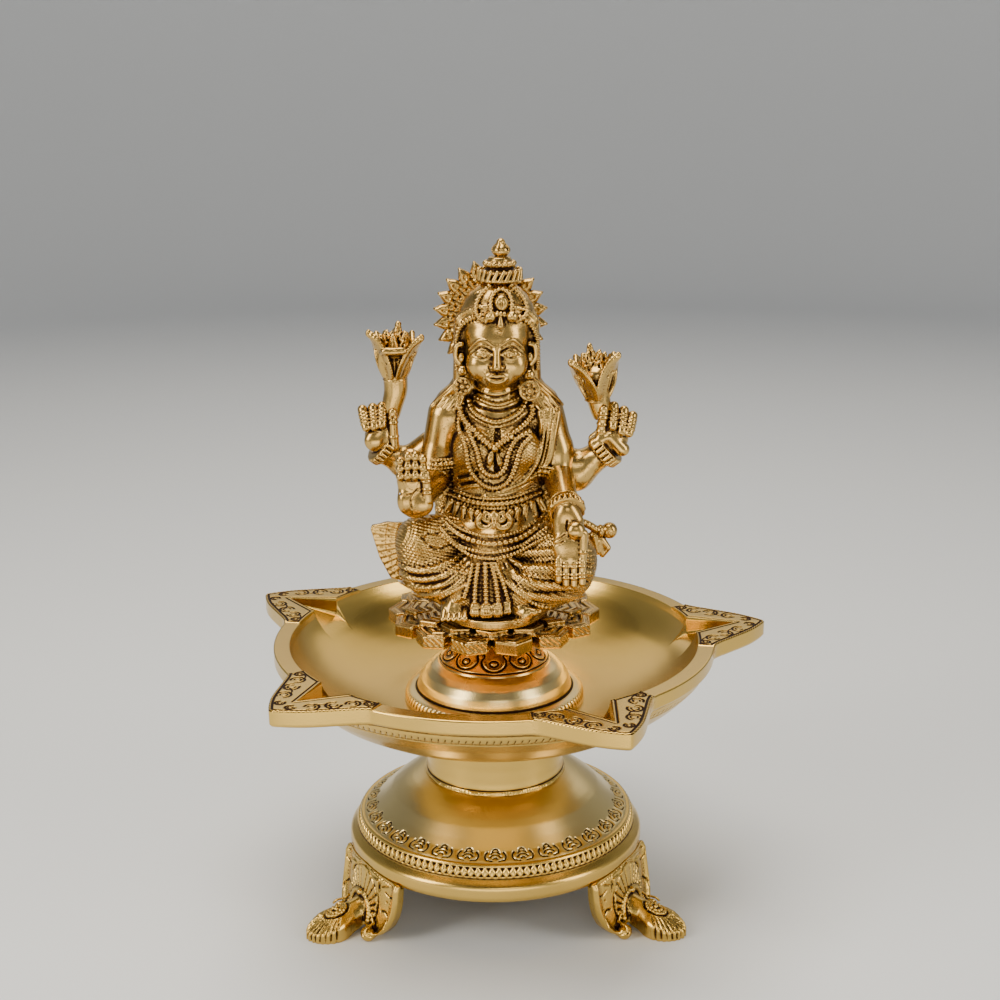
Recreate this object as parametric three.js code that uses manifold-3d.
// Lakshmi oil lamp in cast brass: three shell feet, a domed base, a neck, an oil bowl with
// five wick spouts, a lotus seat and the seated four-armed figure.
// Millimetres, +Z up, the front faces -Y. Built round the lamp's axis, then moved so that
// the origin is the middle of the bounding box on the surface that the lamp stands on.
import * as THREE from 'three';
import { mergeVertices } from 'three/addons/utils/BufferGeometryUtils.js';
import Module from 'manifold-3d';

const wasm = await Module();
wasm.setup();

const DEGREE = Math.PI / 180;
const ROUND = 30;
const SHAPE_TOLERANCE = 0.1;
const SEAT_TOLERANCE = 0.03;

// Fits between the castings
const SEAT_GAP = 0.3;
const ROD_PLAY = 0.4;

// Feet and base
const FOOT_ANGLES = { foot_front_left: 210, foot_front_right: 330, foot_back: 90 };
const APRON_HALF_WIDTH = 26.5;
const APRON_THICKNESS = 4.4;
const APRON_FLARE = 4.6;
const APRON_ARCH = 8;
const CURL_PLACE = 16;
const FLANGE_RADIUS = 66.9;
const TOE_REACH = 29.3;
const TOE_RADIUS = FLANGE_RADIUS + TOE_REACH;
const FLANGE_BOTTOM = 27.3;
const FLANGE_RIM = 4.1;
const APRON_TOP = FLANGE_BOTTOM + FLANGE_RIM;
const APRON_EDGE_SHARE = 0.4;
const LEDGE_HEIGHT = 6;
const LEDGE_STEP_ANGLE = 6;
const LEDGE_INNER_RADIUS = FLANGE_RADIUS - 9.9;
const LEDGE_OUTER_RADIUS = FLANGE_RADIUS + 3.6;
const DOME_TOP = FLANGE_BOTTOM + 34;
const DOME_CROWN_WALL = 3.8;

// Neck and tie rod
const NECK_BOTTOM_RADIUS = 31.4;
const NECK_TOP_RADIUS = 33.4;
const NECK_WALL = 3.6;
const ROD_RADIUS = 4;
const ROD_BELOW_NUT = 3;
const ROD_IN_BOSS = 14;
const WASHER_RADIUS = 11;
const WASHER_HEIGHT = 1.6;
const NUT_ACROSS_CORNERS = 15;
const NUT_HEIGHT = 5.4;

// Bowl and spouts
const NECK_HEIGHT = 25.2;
const BOWL_BOTTOM = DOME_TOP + NECK_HEIGHT;
const BOWL_FLOOR = BOWL_BOTTOM + 10.4;
const BOWL_HEIGHT = 38.2;
const RIM_TOP = BOWL_BOTTOM + BOWL_HEIGHT;
const RIM_BAND = 6.4;
const RIM_RADIUS = 98.5;
const RIM_WIDTH = 7.2;
const RIM_INNER_RADIUS = RIM_RADIUS - RIM_WIDTH;
const RIM_FILLET = 2.4;
const SPOUT_COUNT = 5;
const SPOUT_FIRST_ANGLE = 7.5;
const SPOUT_REACH = 27;
const SPOUT_TIP_RADIUS = RIM_RADIUS + SPOUT_REACH;
const SPOUT_TOP = RIM_TOP + 0.8;
const SPOUT_DEPTH = 7;
const CHANNEL_TIP_RADIUS = RIM_RADIUS + 12.4;
const CHANNEL_MOUTH_HALF_ANGLE = 5.9;
const CHANNEL_MOUTH_FLOOR = SPOUT_TOP - 8;
const CHANNEL_TIP_FLOOR = SPOUT_TOP - 1.9;

// Boss, cap and lotus seat
const BOSS_FLANGE_RADIUS = 40.1;
const BOSS_HEIGHT = 16.7;
const BOSS_TOP = BOWL_FLOOR + BOSS_HEIGHT;
const BOSS_TOP_RADIUS = 26;
const CAP_RADIUS = 25.4;
const CAP_HEIGHT = 17;
const LOTUS_FLARE = 2.4;
const LOTUS_BOTTOM = BOSS_TOP + CAP_HEIGHT + LOTUS_FLARE;
const PETAL_THICKNESS = 6;
const LOTUS_TOP = LOTUS_BOTTOM + PETAL_THICKNESS;
const LOTUS_STALK_RADIUS = 13;
const PETAL_COUNT = 14;
const PETAL_FIRST_ANGLE = -104;
const PETAL_TIP_RADIUS = 47.5;
const PETAL_NOTCH_RADIUS = 39.5;
const PETAL_SHOULDER_RADIUS = 43.6;
const HUB_RADIUS = 27;

// Figure
const FIGURE_X = 1.9;
const HUB_HEIGHT = 4.2;
const FIGURE_BASE = LOTUS_TOP + HUB_HEIGHT;
const LAP_HEIGHT = 34.8;
const BELT = FIGURE_BASE + LAP_HEIGHT;
const TORSO_HEIGHT = 62;
const COLLAR = BELT + TORSO_HEIGHT;
const HEAD_HEIGHT = 44.5;
const HEAD_TOP = COLLAR + HEAD_HEIGHT;
const TIER_HEIGHT = 6.1;
const CROWN_STEP = HEAD_TOP + TIER_HEIGHT;
const KNOB_HEIGHT = 3.6;
const FINIAL_BOTTOM = CROWN_STEP + KNOB_HEIGHT;
const FINIAL_HEIGHT = 9;
const FINIAL_TOP = FINIAL_BOTTOM + FINIAL_HEIGHT;
const CROWN_X = 3.8;
const HALO_RADIUS = 23.6;
const HALO_PETALS = 22;
const HALO_THICKNESS = 2.6;
const HALO_FRONT = 11.4;
const HALO_X = -0.3;
const HALO_Z = COLLAR + 28;
const HAND_WIDTH = 13.8;
const HAND_LENGTH = 27.8;
const FIST_HALF = 7.6;
const STALK_RADIUS = 3.2;
const SASH_THICKNESS = 5;
const ROUNDED_END = 0.8;

const BRASS = { color: 0xc2a766, roughness: 0.38, metalness: 1 };
const AGED_BRASS = { color: 0xa98545, roughness: 0.46, metalness: 1 };
const STEEL = { color: 0x8f8f8a, roughness: 0.45, metalness: 1 };

const lamp = new THREE.Group();
lamp.name = 'lakshmi_oil_lamp';

function polar(radius, degrees, z = 0) {
  return new THREE.Vector3(radius * Math.cos(degrees * DEGREE), radius * Math.sin(degrees * DEGREE), z);
}

function at(x, y, z) {
  return new THREE.Vector3(x, y, z);
}

// Turns a three.js surface into a solid that can be joined and cut, facing outwards.
function toSolid(geometry) {
  const plain = geometry.index ? geometry.clone() : mergeVertices(geometry);
  plain.deleteAttribute('normal');
  plain.deleteAttribute('uv');
  const merged = mergeVertices(plain, 1e-4);
  const positions = merged.getAttribute('position').array;
  const index = merged.index.array;
  const corner = (k) => new THREE.Vector3().fromArray(positions, 3 * k);
  const faces = [];
  let volume = 0;
  for (let i = 0; i < index.length; i += 3) {
    const [a, b, c] = [index[i], index[i + 1], index[i + 2]];
    if (a === b || b === c || a === c) continue;
    faces.push(a, b, c);
    volume += corner(a).dot(corner(b).cross(corner(c)));
  }
  if (volume < 0) faces.reverse();
  return new wasm.Manifold(new wasm.Mesh({
    numProp: 3,
    vertProperties: new Float32Array(positions),
    triVerts: new Uint32Array(faces),
  }));
}

function addNode(name, solid, finish = BRASS, tolerance = SHAPE_TOLERANCE) {
  const mesh = solid.simplify(tolerance).getMesh();
  const geometry = new THREE.BufferGeometry();
  geometry.setAttribute('position', new THREE.BufferAttribute(new Float32Array(mesh.vertProperties), 3));
  geometry.setIndex(new THREE.BufferAttribute(new Uint32Array(mesh.triVerts), 1));
  geometry.translate(-BOX_CENTRE.x, -BOX_CENTRE.y, 0);
  geometry.computeVertexNormals();
  const node = new THREE.Mesh(geometry, new THREE.MeshStandardMaterial(finish));
  node.name = name;
  lamp.add(node);
}

function joined(solids) {
  return solids.reduce((whole, solid) => whole.add(solid));
}

// Turns a profile of [radius, height] about +Z. A ring profile is closed on itself.
function turned(profile, segments = ROUND) {
  const points = profile.map(([radius, height]) => new THREE.Vector2(radius, height));
  const geometry = new THREE.LatheGeometry(points, segments);
  geometry.rotateX(Math.PI / 2);
  return toSolid(geometry);
}

function turnedRing(profile, segments = ROUND) {
  return turned([...profile, profile[0]], segments);
}

// A flat outline in plan, raised from one height to another.
function raised(outline, bottom, top) {
  const shape = new THREE.Shape(outline.map((point) => new THREE.Vector2(point.x, point.y)));
  const geometry = new THREE.ExtrudeGeometry(shape, { depth: top - bottom, bevelEnabled: false });
  geometry.translate(0, 0, bottom);
  return toSolid(geometry);
}

// Skins a row of rings that have the same number of points, and closes both ends.
function lofted(rings) {
  const count = rings[0].length;
  const centre = (ring) => ring.reduce((sum, p) => sum.add(p), at(0, 0, 0)).divideScalar(count);
  const points = [...rings.flat(), centre(rings[0]), centre(rings[rings.length - 1])];
  const first = points.length - 2;
  const lastRing = (rings.length - 1) * count;
  const faces = [];
  for (let j = 0; j < count; j += 1) {
    const next = (j + 1) % count;
    for (let i = 0; i + 1 < rings.length; i += 1) {
      const low = i * count;
      const high = low + count;
      faces.push(low + j, low + next, high + next, low + j, high + next, high + j);
    }
    faces.push(first, next, j);
    faces.push(first + 1, lastRing + j, lastRing + next);
  }
  const geometry = new THREE.BufferGeometry().setFromPoints(points);
  geometry.setIndex(faces);
  return toSolid(geometry);
}

// A level oval ring; notches above zero draws it in between that many petals.
function oval(x, y, z, halfWidth, halfDepth, sides = 20, petals = 0, notch = 0) {
  const ring = [];
  for (let i = 0; i < sides; i += 1) {
    const turn = (2 * Math.PI * i) / sides;
    const drawn = 1 - notch * (petals ? 0.5 - 0.5 * Math.cos(petals * turn) : 0);
    ring.push(at(x + halfWidth * drawn * Math.cos(turn), y + halfDepth * drawn * Math.sin(turn), z));
  }
  return ring;
}

// Stacks ovals given as [x, y, z, half width, half depth], each wider by grow.
function stacked(sections, grow = 0, sides = 20) {
  return lofted(sections.map(([x, y, z, w, d]) => oval(x, y, z, w + grow, d + grow, sides)));
}

// A rounded limb through stations given as [x, y, z, radius], each thicker by grow.
function limb(stations, grow = 0, sides = 8, steps = 2) {
  const path = new THREE.CatmullRomCurve3(stations.map(([x, y, z]) => at(x, y, z)));
  const count = (stations.length - 1) * steps;
  const frames = path.computeFrenetFrames(count, false);
  const rings = [];
  const ring = (k, along, scale) => {
    const share = k / steps;
    const i = Math.min(Math.floor(share), stations.length - 2);
    const mix = share - i;
    const radius = stations[i][3] * (1 - mix) + stations[i + 1][3] * mix + grow;
    const middle = path.getPoint(k / count).addScaledVector(frames.tangents[k], along * radius);
    const points = [];
    for (let j = 0; j < sides; j += 1) {
      const turn = (2 * Math.PI * j) / sides;
      const out = frames.normals[k].clone().multiplyScalar(Math.cos(turn));
      out.addScaledVector(frames.binormals[k], Math.sin(turn));
      points.push(middle.clone().addScaledVector(out, scale * radius));
    }
    rings.push(points);
  };
  ring(0, -ROUNDED_END, 0.5);
  for (let k = 0; k <= count; k += 1) ring(k, 0, 1);
  ring(count, ROUNDED_END, 0.5);
  return lofted(rings);
}

// Points of a profile that starts level and steepens like a dish: [radius, height].
function dished(fromRadius, fromHeight, toRadius, toHeight, steepness, steps) {
  return Array.from({ length: steps + 1 }, (_, i) => [
    fromRadius + ((toRadius - fromRadius) * i) / steps,
    fromHeight + (toHeight - fromHeight) * (i / steps) ** steepness,
  ]);
}

function sliced(solid, bottom, top) {
  const reach = 200;
  const corners = [at(-reach, -reach, 0), at(reach, -reach, 0), at(reach, reach, 0), at(-reach, reach, 0)];
  return solid.intersect(raised(corners, bottom, top));
}

function spoutAngles() {
  return Array.from({ length: SPOUT_COUNT }, (_, i) => SPOUT_FIRST_ANGLE + (360 / SPOUT_COUNT) * i);
}

function middleOfTips() {
  const tips = spoutAngles().map((angle) => polar(SPOUT_TIP_RADIUS, angle));
  return new THREE.Box3().setFromPoints(tips).getCenter(at(0, 0, 0));
}

const BOX_CENTRE = middleOfTips();

// One foot: an apron bent round the flange and thin along its upper edge, a lobed toe that
// grows out of its middle, and a ledge behind it on which the flange of the base rests.
function foot(angle) {
  return joined([apron(angle), toe(angle), footLedge(angle)]).subtract(flangeEnvelope());
}

function apron(angle) {
  const columns = 12;
  const rows = 3;
  const back = FLANGE_RADIUS + SEAT_GAP;
  const perMillimetre = 1 / (back * DEGREE);
  const rings = [];
  for (let column = 0; column <= columns; column += 1) {
    const across = APRON_HALF_WIDTH * ((2 * column) / columns - 1);
    const side = Math.abs(across);
    const top = FLANGE_BOTTOM + 0.8 + (APRON_TOP - FLANGE_BOTTOM - 0.8) * (1 - side / APRON_HALF_WIDTH);
    const arch = APRON_ARCH * Math.max(0, Math.cos((90 * DEGREE * side) / (CURL_PLACE * 0.8)));
    const rise = Math.max(0, side - CURL_PLACE - 1.5) / (APRON_HALF_WIDTH - CURL_PLACE - 1.5);
    const bottom = side < CURL_PLACE * 0.8 ? arch : (FLANGE_BOTTOM - 1.6) * rise ** 1.25;
    const curl = 2.4 * Math.exp(-(((side - CURL_PLACE) / 3) ** 2));
    const strip = (inset) => Array.from({ length: rows + 1 }, (_, row) => {
      const down = row / rows;
      const flare = APRON_FLARE * (1 - (top + (bottom - top) * down) / APRON_TOP) ** 2;
      const thickness = APRON_THICKNESS * Math.min(1, APRON_EDGE_SHARE + 1.5 * down);
      const radius = back + flare + (inset ? 0 : thickness + curl * down ** 3);
      return polar(radius, angle + across * perMillimetre, top + (bottom - top) * down);
    });
    rings.push([...strip(false), ...strip(true).reverse()]);
  }
  return lofted(rings);
}

// Sections of the toe from its root to its tip: [share of its length, half width, bottom, top].
const TOE_SECTIONS = [
  [0, 7.6, 9, 19],
  [0.22, 8, 6, 17],
  [0.38, 8.4, 1.5, 14.6],
  [0.5, 9, -0.8, 13.2],
  [0.7, 9.6, -1, 11.4],
  [0.86, 8.4, -0.8, 9.8],
  [0.96, 5.6, 0, 8.2],
  [1, 2.6, 1.8, 6.4],
];

function toe(angle) {
  const root = FLANGE_RADIUS + SEAT_GAP + 2;
  const rings = TOE_SECTIONS.map(([share, half, bottom, top]) => {
    const radius = root + (TOE_RADIUS - root) * share;
    return Array.from({ length: 10 }, (_, j) => {
      const turn = (2 * Math.PI * j) / 10;
      const z = (top + bottom) / 2 + ((top - bottom) / 2) * Math.sin(turn);
      return at(radius, half * Math.cos(turn), z);
    });
  });
  return sliced(lofted(rings), 0, APRON_TOP).rotate([0, 0, angle]);
}

function footLedge(angle) {
  const outline = [];
  for (let step = -2; step <= 2; step += 1) {
    outline.push(polar(LEDGE_OUTER_RADIUS, angle + LEDGE_STEP_ANGLE * step));
  }
  for (let step = 2; step >= -2; step -= 1) {
    outline.push(polar(LEDGE_INNER_RADIUS, angle + LEDGE_STEP_ANGLE * step));
  }
  return raised(outline, FLANGE_BOTTOM - LEDGE_HEIGHT, FLANGE_BOTTOM);
}

function flangeEnvelope() {
  const radius = FLANGE_RADIUS + SEAT_GAP;
  return turned([[0, FLANGE_BOTTOM], [radius, FLANGE_BOTTOM], [radius, DOME_TOP], [0, DOME_TOP]], 60);
}

// Points of a domed profile from its outer edge to its level top: [radius, height].
function crown(outerRadius, edge, innerRadius, top, steps = 4) {
  return Array.from({ length: steps + 1 }, (_, i) => [
    outerRadius + ((innerRadius - outerRadius) * i) / steps,
    top - (top - edge) * (1 - i / steps) ** 1.7,
  ]);
}

function baseDome() {
  const hole = ROD_RADIUS + ROD_PLAY;
  const ceiling = DOME_TOP - DOME_CROWN_WALL;
  return turnedRing([
    [FLANGE_RADIUS - FLANGE_RIM, FLANGE_BOTTOM],
    [FLANGE_RADIUS - 0.6, FLANGE_BOTTOM],
    [FLANGE_RADIUS, FLANGE_BOTTOM + 1.7],
    [FLANGE_RADIUS, FLANGE_BOTTOM + 6.1],
    [FLANGE_RADIUS - 1.7, FLANGE_BOTTOM + 8.7],
    [FLANGE_RADIUS - 3.5, FLANGE_BOTTOM + 10.1],
    [FLANGE_RADIUS - 3, FLANGE_BOTTOM + 11.7],
    [FLANGE_RADIUS - 5.5, FLANGE_BOTTOM + 15],
    [FLANGE_RADIUS - 8.1, DOME_TOP - 17.5],
    ...crown(FLANGE_RADIUS - 11.9, DOME_TOP - 15.8, NECK_BOTTOM_RADIUS + 0.4, DOME_TOP),
    [hole, DOME_TOP],
    [hole, ceiling],
    ...crown(FLANGE_RADIUS - 12.9, ceiling - 15.9, NECK_BOTTOM_RADIUS - 1.4, ceiling).reverse(),
    [FLANGE_RADIUS - 6.9, ceiling - 18.9],
    [FLANGE_RADIUS - FLANGE_RIM, FLANGE_BOTTOM + 7.7],
  ]);
}

function neck() {
  return turnedRing([
    [NECK_BOTTOM_RADIUS - NECK_WALL, DOME_TOP],
    [NECK_BOTTOM_RADIUS, DOME_TOP],
    [NECK_BOTTOM_RADIUS - 0.3, DOME_TOP + 4],
    [NECK_BOTTOM_RADIUS + 0.5, BOWL_BOTTOM - 8],
    [NECK_TOP_RADIUS, BOWL_BOTTOM],
    [NECK_TOP_RADIUS - NECK_WALL, BOWL_BOTTOM],
  ]);
}

function tieRod() {
  const nutBottom = DOME_TOP - DOME_CROWN_WALL - WASHER_HEIGHT - NUT_HEIGHT;
  const bottom = nutBottom - ROD_BELOW_NUT;
  const top = BOWL_FLOOR + ROD_IN_BOSS;
  return turned([
    [0, bottom],
    [ROD_RADIUS - 0.6, bottom],
    [ROD_RADIUS, bottom + 0.8],
    [ROD_RADIUS, top],
    [0, top],
  ], 20);
}

function washer() {
  const top = DOME_TOP - DOME_CROWN_WALL;
  const bottom = top - WASHER_HEIGHT;
  const hole = ROD_RADIUS + ROD_PLAY;
  return turnedRing([[hole, bottom], [WASHER_RADIUS, bottom], [WASHER_RADIUS, top], [hole, top]], 24);
}

function nut() {
  const top = DOME_TOP - DOME_CROWN_WALL - WASHER_HEIGHT;
  const bottom = top - NUT_HEIGHT;
  const corners = Array.from({ length: 6 }, (_, i) => polar(NUT_ACROSS_CORNERS / 2, 60 * i));
  const bore = ROD_RADIUS + SEAT_GAP;
  const hole = turned([[0, bottom - 1], [bore, bottom - 1], [bore, top + 1], [0, top + 1]], 24);
  return raised(corners, bottom, top).subtract(hole);
}

// The bowl is one casting: a turned dish, five pointed spouts and a wick channel in each.
function bowl() {
  const hole = ROD_RADIUS + ROD_PLAY;
  const brim = RIM_INNER_RADIUS - RIM_FILLET;
  const inside = dished(BOSS_FLANGE_RADIUS + 2, BOWL_FLOOR, brim, RIM_TOP - 2 * RIM_FILLET, 2.7, 5);
  const dish = turnedRing([
    [hole, BOWL_BOTTOM],
    ...dished(NECK_TOP_RADIUS, BOWL_BOTTOM, RIM_RADIUS - 1.4, RIM_TOP - RIM_BAND - 0.5, 2.5, 6),
    [RIM_RADIUS, RIM_TOP - RIM_BAND],
    [RIM_RADIUS, RIM_TOP],
    [RIM_INNER_RADIUS, RIM_TOP],
    ...inside.reverse(),
    [hole, BOWL_FLOOR],
  ], 45);
  const angles = spoutAngles();
  return joined([dish, ...angles.map(spout)]).subtract(joined(angles.map(wickChannel)));
}

// Half outline of a spout from its tip to where its arms fade into the rim: [angle, beyond the rim].
const SPOUT_SIDE = [[5, 19.1], [9.5, 10], [14, 2.7], [17, -0.3]];

function spout(angle) {
  const right = SPOUT_SIDE.map(([turn, beyond]) => polar(RIM_RADIUS + beyond, angle + turn));
  const left = SPOUT_SIDE.map(([turn, beyond]) => polar(RIM_RADIUS + beyond, angle - turn)).reverse();
  const innerEdge = [-17, -8, 0, 8, 17].map((turn) => polar(RIM_INNER_RADIUS + 0.8, angle + turn));
  const outline = [polar(SPOUT_TIP_RADIUS, angle), ...right, ...innerEdge.reverse(), ...left];
  return raised(outline, SPOUT_TOP - SPOUT_DEPTH, SPOUT_TOP);
}

function wickChannel(angle) {
  const half = CHANNEL_MOUTH_HALF_ANGLE;
  const plan = [
    [CHANNEL_TIP_RADIUS, 0, CHANNEL_TIP_FLOOR],
    [RIM_INNER_RADIUS + 0.8, half, CHANNEL_MOUTH_FLOOR],
    [RIM_INNER_RADIUS - 10, half + 0.9, CHANNEL_MOUTH_FLOOR - 1],
    [RIM_INNER_RADIUS - 10, -half - 0.9, CHANNEL_MOUTH_FLOOR - 1],
    [RIM_INNER_RADIUS + 0.8, -half, CHANNEL_MOUTH_FLOOR],
  ];
  const floor = plan.map(([radius, turn, z]) => polar(radius, angle + turn, z));
  const sky = plan.map(([radius, turn]) => polar(radius, angle + turn, SPOUT_TOP + 5));
  return lofted([floor, sky]);
}

function boss() {
  const bore = ROD_RADIUS + SEAT_GAP;
  const bottom = BOWL_FLOOR;
  const socket = turned([
    [0, bottom - 1],
    [bore, bottom - 1],
    [bore, bottom + ROD_IN_BOSS + SEAT_GAP],
    [0, bottom + ROD_IN_BOSS + SEAT_GAP],
  ], 24);
  const body = turned([
    [0, bottom],
    [BOSS_FLANGE_RADIUS, bottom],
    [BOSS_FLANGE_RADIUS, bottom + 2.8],
    [38.2, bottom + 4.6],
    [34.9, bottom + 5.2],
    [34.4, bottom + 7],
    [32.5, bottom + 10.6],
    [29.5, bottom + 13.7],
    [BOSS_TOP_RADIUS, BOSS_TOP],
    [0, BOSS_TOP],
  ]);
  return body.subtract(socket);
}

function cap() {
  return turned([
    [0, BOSS_TOP],
    [CAP_RADIUS - 1.6, BOSS_TOP],
    [CAP_RADIUS, BOSS_TOP + 1.4],
    [23.8, BOSS_TOP + 4.6],
    [19.4, BOSS_TOP + 8.4],
    [15.2, BOSS_TOP + 11.6],
    [12.4, BOSS_TOP + 15],
    [LOTUS_STALK_RADIUS, LOTUS_BOTTOM - LOTUS_FLARE],
    [0, LOTUS_BOTTOM - LOTUS_FLARE],
  ]);
}

// The seat: a ring of thick pointed petals over a short flared stalk.
function lotusSeat() {
  const pitch = 360 / PETAL_COUNT;
  const outline = [];
  for (let i = 0; i < PETAL_COUNT; i += 1) {
    const tip = PETAL_FIRST_ANGLE + i * pitch;
    outline.push(polar(PETAL_NOTCH_RADIUS, tip - pitch / 2));
    outline.push(polar(PETAL_SHOULDER_RADIUS, tip - pitch * 0.41));
    outline.push(polar(PETAL_TIP_RADIUS, tip));
    outline.push(polar(PETAL_SHOULDER_RADIUS, tip + pitch * 0.41));
  }
  const hub = turned([
    [0, LOTUS_TOP - 1],
    [HUB_RADIUS, LOTUS_TOP - 1],
    [HUB_RADIUS - 1, FIGURE_BASE],
    [0, FIGURE_BASE],
  ]);
  const flare = turned([
    [0, LOTUS_BOTTOM - LOTUS_FLARE],
    [LOTUS_STALK_RADIUS, LOTUS_BOTTOM - LOTUS_FLARE],
    [26, LOTUS_BOTTOM - 1.2],
    [PETAL_NOTCH_RADIUS - 2, LOTUS_BOTTOM + 0.6],
    [PETAL_NOTCH_RADIUS - 2, LOTUS_BOTTOM + 3],
    [0, LOTUS_BOTTOM + 3],
  ], 30);
  return joined([raised(outline, LOTUS_BOTTOM, LOTUS_TOP), flare, hub]);
}

// A height on the lap, as a share of the way from the seat to the belt.
function lap(share) {
  return FIGURE_BASE + LAP_HEIGHT * share;
}

// Crossed legs under the sari, from the seat up to the belt.
function legs(grow) {
  const x = FIGURE_X;
  const hips = stacked([
    [x - 4, -13, FIGURE_BASE - 2, 22, 22],
    [x - 3, -12, lap(0.2), 27, 26],
    [x, -7, lap(0.43), 30, 24],
    [x, -4, lap(0.71), 27, 22],
    [x, -1, BELT + grow, 23, 18.4],
  ], grow, 16);
  const rightThigh = limb([
    [x - 12, -2, lap(0.83), 12],
    [x - 23, -10, lap(0.91), 12],
    [x - 32, -15.5, lap(0.9), 12.2],
  ], grow, 8, 1);
  const rightShin = limb([
    [x - 32, -16, lap(0.6), 11.6],
    [x - 30, -21, lap(0.45), 10.5],
    [x - 17, -31, lap(0.3), 8],
  ], grow);
  const leftThigh = limb([
    [x + 12, -2, lap(0.77), 12.4],
    [x + 22, -10, lap(0.71), 12.6],
    [x + 30.5, -14.5, lap(0.67), 12.8],
  ], grow);
  const leftShin = limb([
    [x + 31, -16, lap(0.48), 10.6],
    [x + 27, -22, lap(0.38), 9.6],
    [x + 14, -31, lap(0.25), 7.6],
  ], grow);
  const apronFold = limb([
    [x - 2, -15, lap(0.8), 12.5],
    [x - 3, -22, lap(0.48), 12.8],
    [x - 3.2, -25, lap(0.28), 11],
  ], grow);
  const rightFoot = limb([[x - 17, -30, lap(0.22), 6.4], [x - 18.6, -36.5, lap(0.18), 5.2]], grow);
  const leftFoot = limb([[x + 8, -32, lap(0.17), 5.6], [x + 15.5, -36.5, lap(0.17), 4]], grow);
  const body = joined([hips, rightThigh, rightShin, leftThigh, leftShin, apronFold, rightFoot, leftFoot]);
  return joined([body, sashFan(grow), sashKnot(grow)]);
}

// A plate that stands up in the figure's plane, from an outline of [x, z].
function upright(outline, back, thickness) {
  const plan = outline.map(([x, z]) => at(x, z, 0));
  return raised(plan, 0, thickness).rotate([90, 0, 0]).translate([0, back, 0]);
}

// The loose end of the sash at the right knee opens like a fan.
function sashFan(grow) {
  const top = [[-26, lap(0.94)], [-38, lap(1.06)], [-52.2, lap(1.04)], [-53.6, lap(0.95)]];
  const foot = [[-50, lap(0.58)], [-45.4, lap(0.29)], [-40, lap(0.28)], [-26, lap(0.6)]];
  const outline = [...top, ...foot];
  return upright(outline, 1 + grow, SASH_THICKNESS + 2 * grow);
}

function sashKnot(grow) {
  const tail = limb([
    [34, -2, lap(0.77), 4],
    [44, -1, lap(0.81), 3.6],
    [51, -1, lap(0.89), 3.2],
  ], grow, 10, 1);
  const end = limb([[40, -1, lap(0.71), 3.6], [46, -1, lap(0.55), 3.2]], grow, 10, 1);
  return tail.add(end);
}

// A height on the torso, as a share of the way from the belt to the collar.
function torso(share) {
  return BELT + TORSO_HEIGHT * share;
}

// Trunk, neck, the hair on the shoulders and the two front upper arms.
function trunk(grow) {
  const x = FIGURE_X;
  const body = stacked([
    [x, 0, BELT, 22.4, 17.6],
    [x, 0, torso(0.11), 20.6, 16],
    [x, 0, torso(0.27), 18.4, 13.8],
    [x, -0.6, torso(0.42), 19.6, 14.6],
    [x, -1.4, torso(0.56), 20.4, 15],
    [x, -0.8, torso(0.71), 20.6, 13.6],
    [x, 0.6, torso(0.83), 19.6, 11],
    [x, 1, torso(0.92), 12.4, 9.4],
    [x - 0.4, 0, COLLAR + 3, 8.4, 8.4],
  ], grow, 16);
  const bust = [-1, 1].map((side) => limb([
    [x + side * 7, -5, torso(0.565), 8.4],
    [x + side * 9.2, -8.4, torso(0.56), 8],
  ], grow, 12, 1));
  const locks = [-1, 1].map((side) => limb([
    [x + side * 12, 3, COLLAR + 6, 4.6],
    [x + side * 17.5, 1, COLLAR - 1.4, 5],
    [x + side * 22.4, -1.4, COLLAR - 6.8, 4.2],
  ], grow, 10));
  const rightArm = limb([
    [x - 22.4, 0, torso(0.82), 7],
    [x - 25.6, -0.6, torso(0.65), 6.6],
    [x - 27.2, -2, torso(0.45), 6],
  ], grow);
  const leftArm = limb([
    [x + 22.6, 0, torso(0.82), 7.2],
    [x + 26, -0.6, torso(0.58), 7],
    [x + 26.4, -3, torso(0.355), 6.6],
  ], grow);
  return joined([body, ...bust, ...locks, nape(grow), rightArm, leftArm]);
}

// The hair gathered behind the neck, from one shoulder to the other.
function nape(grow) {
  const x = FIGURE_X;
  return limb([
    [x - 14.5, 3, COLLAR + 2.5, 4.6],
    [x - 6, 6.5, COLLAR + 3.5, 5.6],
    [x + 6, 6.5, COLLAR + 3.5, 5.6],
    [x + 14.5, 3, COLLAR + 2.5, 4.6],
  ], grow, 10, 1);
}

// An open hand with its wrist at the origin, fingers up +Z, palm to -Y, thumb to one side.
function openHand(thumbSide) {
  const half = HAND_WIDTH / 2;
  const palm = stacked([
    [0, 0, 0, half * 0.62, 3.4],
    [0, 0, 4, half * 0.86, 3.4],
    [0, 0, 9, half, 3.1],
    [0, 0, HAND_LENGTH * 0.52, half * 0.96, 2.6],
  ], 0, 10);
  const fingers = [-1.5, -0.5, 0.5, 1.5].map((place) => {
    const side = place * HAND_WIDTH * 0.245;
    const length = HAND_LENGTH * (1 - 0.045 * place * place);
    return limb([
      [side, 0, HAND_LENGTH * 0.42, 1.8],
      [side * 1.04, 0, HAND_LENGTH * 0.7, 1.75],
      [side * 1.04, -0.2, length - 1.4, 1.4],
    ], 0, 6, 1);
  });
  const thumb = limb([
    [thumbSide * half * 0.5, -0.6, 4, 2.3],
    [thumbSide * half * 0.95, -2, 9, 2.2],
    [thumbSide * half * 0.8, -3, 14.5, 1.6],
  ], 0, 8, 1);
  return joined([palm, ...fingers, thumb]);
}

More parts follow.
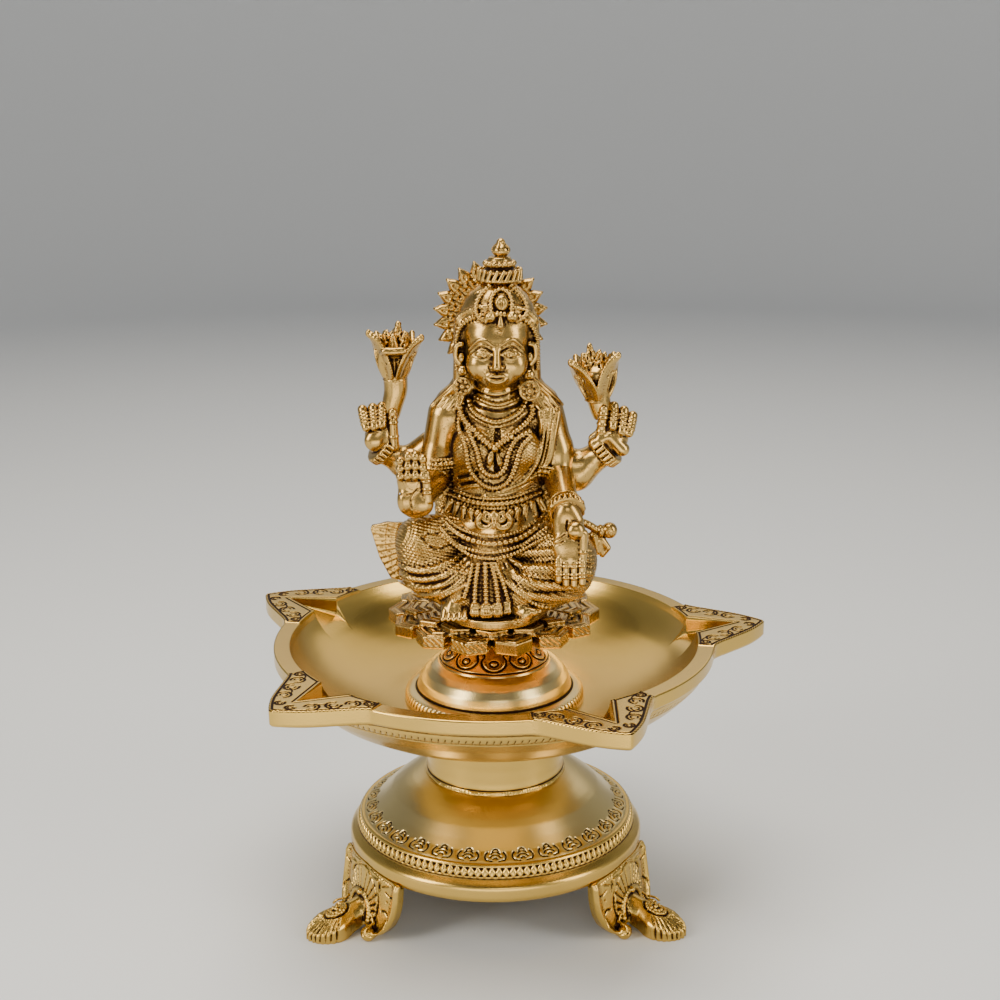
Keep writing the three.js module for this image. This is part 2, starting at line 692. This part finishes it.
function frontRightForearm() {
  const x = FIGURE_X;
  const arm = limb([
    [x - 27.6, -4, torso(0.4), 5.8],
    [x - 31.5, -14, torso(0.3), 5.2],
    [x - 35.6, -23, torso(0.235), 4.4],
  ]);
  const hand = openHand(1).translate([x - 36, -25.6, torso(0.22)]);
  return arm.add(hand).subtract(trunk(SEAT_GAP)).subtract(legs(SEAT_GAP));
}

function frontLeftForearm() {
  const x = FIGURE_X;
  const arm = limb([
    [x + 26.6, -5, torso(0.31), 6.2],
    [x + 28.6, -15, torso(0.235), 5.8],
    [x + 30.8, -24, torso(0.17), 4.8],
  ]);
  const hand = openHand(-1).rotate([0, 180, 0]).rotate([-7, 0, 0]).translate([x + 31.2, -27.4, torso(0.15)]);
  return arm.add(hand).subtract(trunk(SEAT_GAP)).subtract(legs(SEAT_GAP));
}

// A closed hand round a stalk: four curled fingers over the palm.
function fist(x, y, z) {
  const core = stacked([
    [x, y, z - FIST_HALF, 4, 3.8],
    [x, y, z - 4, 6.6, 5],
    [x, y, z + 4, 6.8, 5],
    [x, y, z + FIST_HALF, 4.4, 3.4],
  ], 0, 10);
  const fingers = [-1.5, -0.5, 0.5, 1.5].map((place) => limb([
    [x - 5.4, y - 2, z + place * 3.3, 1.7],
    [x, y - 4.8, z + place * 3.3, 1.8],
    [x + 5.4, y - 2, z + place * 3.3, 1.7],
  ], 0, 6, 1));
  return joined([core, ...fingers]);
}

const RIGHT_FIST = [-49.4, 2, torso(0.74)];
const LEFT_FIST = [54, 2, torso(0.71)];

function rearRightArm() {
  const [fx, fy, fz] = RIGHT_FIST;
  const arm = limb([
    [-17, 9, torso(0.66), 6.4],
    [-30, 11, torso(0.5), 6.2],
    [fx + 7, 9, fz - 20.5, 5.6],
    [fx + 1.6, 6, fz - 13, 5],
    [fx, fy + 0.5, fz - 6, 4.2],
  ]);
  return arm.add(fist(fx, fy, fz)).subtract(trunk(SEAT_GAP));
}

function rearLeftArm() {
  const [fx, fy, fz] = LEFT_FIST;
  const arm = limb([
    [20, 9, torso(0.66), 6.4],
    [33, 11, torso(0.485), 6.2],
    [fx - 10, 9, fz - 20.5, 5.6],
    [fx - 3, 6, fz - 13, 5],
    [fx, fy + 0.5, fz - 6, 4.2],
  ]);
  return arm.add(fist(fx, fy, fz)).subtract(trunk(SEAT_GAP));
}

// An open lotus: eight petals drawn out of a cup, with a bud in the middle.
function rightFlower() {
  const [fx, fy, fz] = RIGHT_FIST;
  const stalk = limb([
    [fx + 2.4, fy, fz + FIST_HALF - 2, STALK_RADIUS + 0.4],
    [fx + 4.4, fy, fz + FIST_HALF + 5, STALK_RADIUS],
    [fx + 8.4, fy, fz + 22.4, STALK_RADIUS],
  ], 0, 10);
  const cup = fz + 21.6;
  const sections = [[0, 4, 0], [2.4, 7, 0.1], [7.4, 9.6, 0.16], [12.4, 10.6, 0.24], [15.4, 8.6, 0.3]];
  const rings = sections.map(([rise, r, notch]) => oval(fx + 9.6, fy, cup + rise, r, r, 32, 8, notch));
  const bud = stacked([
    [fx + 9.6, fy, cup + 12.4, 6, 6],
    [fx + 9.8, fy, cup + 17.4, 5.2, 5.2],
    [fx + 10.2, fy, cup + 20.6, 2, 2],
  ], 0, 12);
  return sliced(joined([stalk, lofted(rings), bud]), fz + FIST_HALF + SEAT_GAP, HEAD_TOP);
}

function leftFlower() {
  const [fx, fy, fz] = LEFT_FIST;
  const stalk = limb([
    [fx - 3, fy, fz + FIST_HALF - 3, STALK_RADIUS + 0.6],
    [fx - 5.6, fy, fz + FIST_HALF + 3, STALK_RADIUS],
    [fx - 8.6, fy, fz + 18, STALK_RADIUS + 0.6],
  ], 0, 10);
  const cup = fz + 16.4;
  const sections = [
    [0, 4.6, 0],
    [2.6, 7.8, 0.08],
    [7.6, 9.8, 0.14],
    [12.2, 10.3, 0.26],
    [15.6, 9, 0.44],
    [18.6, 6.6, 0.6],
  ];
  const rings = sections.map(([rise, r, notch]) => oval(fx - 9.8, fy, cup + rise, r, r, 32, 8, notch));
  return sliced(stalk.add(lofted(rings)), fz + FIST_HALF + SEAT_GAP, HEAD_TOP);
}

function head() {
  const lean = (z) => FIGURE_X - 0.4 + 0.045 * (z - COLLAR);
  const level = (share) => COLLAR + HEAD_HEIGHT * share;
  const section = ([y, share, halfWidth, halfDepth]) => [lean(level(share)), y, level(share), halfWidth, halfDepth];
  const skull = stacked([
    [-2, -0.02, 8, 8.6],
    [-3.8, 0.05, 9, 10],
    [-3.4, 0.16, 12, 12],
    [-2.4, 0.29, 13.6, 13.4],
    [-1.4, 0.47, 14.6, 14.2],
    [-0.6, 0.65, 15, 13.6],
    [0.2, 0.81, 14, 12.4],
    [0.6, 0.92, 12.2, 11],
    [0.6, 1.02, 10.4, 9.6],
  ].map(section), 0, 16);
  const x = lean(level(0.34));
  const nose = limb([
    [x, -14.6, level(0.45), 1.3],
    [x, -16.2, level(0.35), 1.6],
    [x, -16.4, level(0.28), 1.9],
  ], 0, 8, 1);
  const bun = limb([[x, 7, level(0.4), 6.6], [x, 8, level(0.27), 7], [x, 6, level(0.15), 5.4]], 0, 10, 1);
  const ear = (side) => stacked([
    [x + side * 13.2, -3, level(0.01), 3.6, 2],
    [x + side * 14, -3.4, level(0.07), 4.4, 2.6],
    [x + side * 14.2, -3, level(0.16), 3, 2.4],
    [x + side * 14.6, -1.8, level(0.31), 3, 3],
    [x + side * 14.2, -1, level(0.49), 2.4, 2.6],
  ], 0, 10);
  const whole = joined([skull, nose, bun, nape(0), ear(-1), ear(1)]);
  return sliced(whole, COLLAR, HEAD_TOP).subtract(haloSeat());
}

// The back of the head is filed flat where the halo is brazed on.
function haloSeat() {
  const reach = HALO_RADIUS + SEAT_GAP;
  const outline = Array.from({ length: 36 }, (_, i) => [
    HALO_X + reach * Math.cos(10 * i * DEGREE),
    HALO_Z + reach * Math.sin(10 * i * DEGREE),
  ]);
  return upright(outline, HALO_FRONT + 20, 20);
}

function halo() {
  const outline = [];
  const pitch = 360 / HALO_PETALS;
  const rim = (radius, turn) => [
    HALO_X + radius * Math.cos(turn * DEGREE),
    HALO_Z + radius * Math.sin(turn * DEGREE),
  ];
  for (let i = 0; i < HALO_PETALS; i += 1) {
    outline.push(rim(HALO_RADIUS - 3.6, 90 + (i - 0.5) * pitch));
    outline.push(rim(HALO_RADIUS, 90 + i * pitch));
  }
  return upright(outline, HALO_FRONT + HALO_THICKNESS, HALO_THICKNESS);
}

function crownTier() {
  return turned([
    [0, HEAD_TOP],
    [9.2, HEAD_TOP],
    [10, HEAD_TOP + 1.6],
    [9.8, HEAD_TOP + 4],
    [7.4, CROWN_STEP],
    [0, CROWN_STEP],
  ], 20).translate([CROWN_X, 0, 0]);
}

function crownTop() {
  return turned([
    [0, CROWN_STEP],
    [5.8, CROWN_STEP],
    [6.5, CROWN_STEP + 1.2],
    [5.6, CROWN_STEP + 2.8],
    [3, FINIAL_BOTTOM],
    [0, FINIAL_BOTTOM],
  ], 18).translate([CROWN_X + 0.4, 0, 0]);
}

function finial() {
  const rise = FINIAL_TOP - FINIAL_BOTTOM;
  return turned([
    [0, FINIAL_BOTTOM],
    [2.2, FINIAL_BOTTOM],
    [3.6, FINIAL_BOTTOM + rise * 0.22],
    [3.9, FINIAL_BOTTOM + rise * 0.38],
    [3.1, FINIAL_BOTTOM + rise * 0.6],
    [1.4, FINIAL_BOTTOM + rise * 0.86],
    [0, FINIAL_TOP],
  ], 14).translate([CROWN_X + 0.6, 0, 0]);
}

for (const [name, angle] of Object.entries(FOOT_ANGLES)) addNode(name, foot(angle));
addNode('base_dome', baseDome());
addNode('neck', neck());
addNode('tie_rod', tieRod(), STEEL);
addNode('base_washer', washer(), STEEL);
addNode('base_nut', nut(), STEEL);
addNode('bowl', bowl(), BRASS, SEAT_TOLERANCE);
addNode('boss', boss());
addNode('seat_cap', cap(), AGED_BRASS);
addNode('lotus_seat', lotusSeat(), AGED_BRASS);
addNode('figure_legs', sliced(legs(0), FIGURE_BASE, COLLAR).subtract(trunk(SEAT_GAP)), AGED_BRASS);
addNode('figure_trunk', sliced(trunk(0), BELT, COLLAR), AGED_BRASS);
addNode('front_right_forearm', frontRightForearm(), AGED_BRASS);
addNode('front_left_forearm', frontLeftForearm(), AGED_BRASS);
addNode('rear_right_arm', rearRightArm(), AGED_BRASS);
addNode('rear_left_arm', rearLeftArm(), AGED_BRASS);
addNode('right_flower', rightFlower(), AGED_BRASS);
addNode('left_flower', leftFlower(), AGED_BRASS);
addNode('head', head(), AGED_BRASS);
addNode('halo', halo(), AGED_BRASS);
addNode('crown_tier', crownTier(), AGED_BRASS);
addNode('crown_top', crownTop(), AGED_BRASS);
addNode('finial', finial(), AGED_BRASS);

export default lamp;
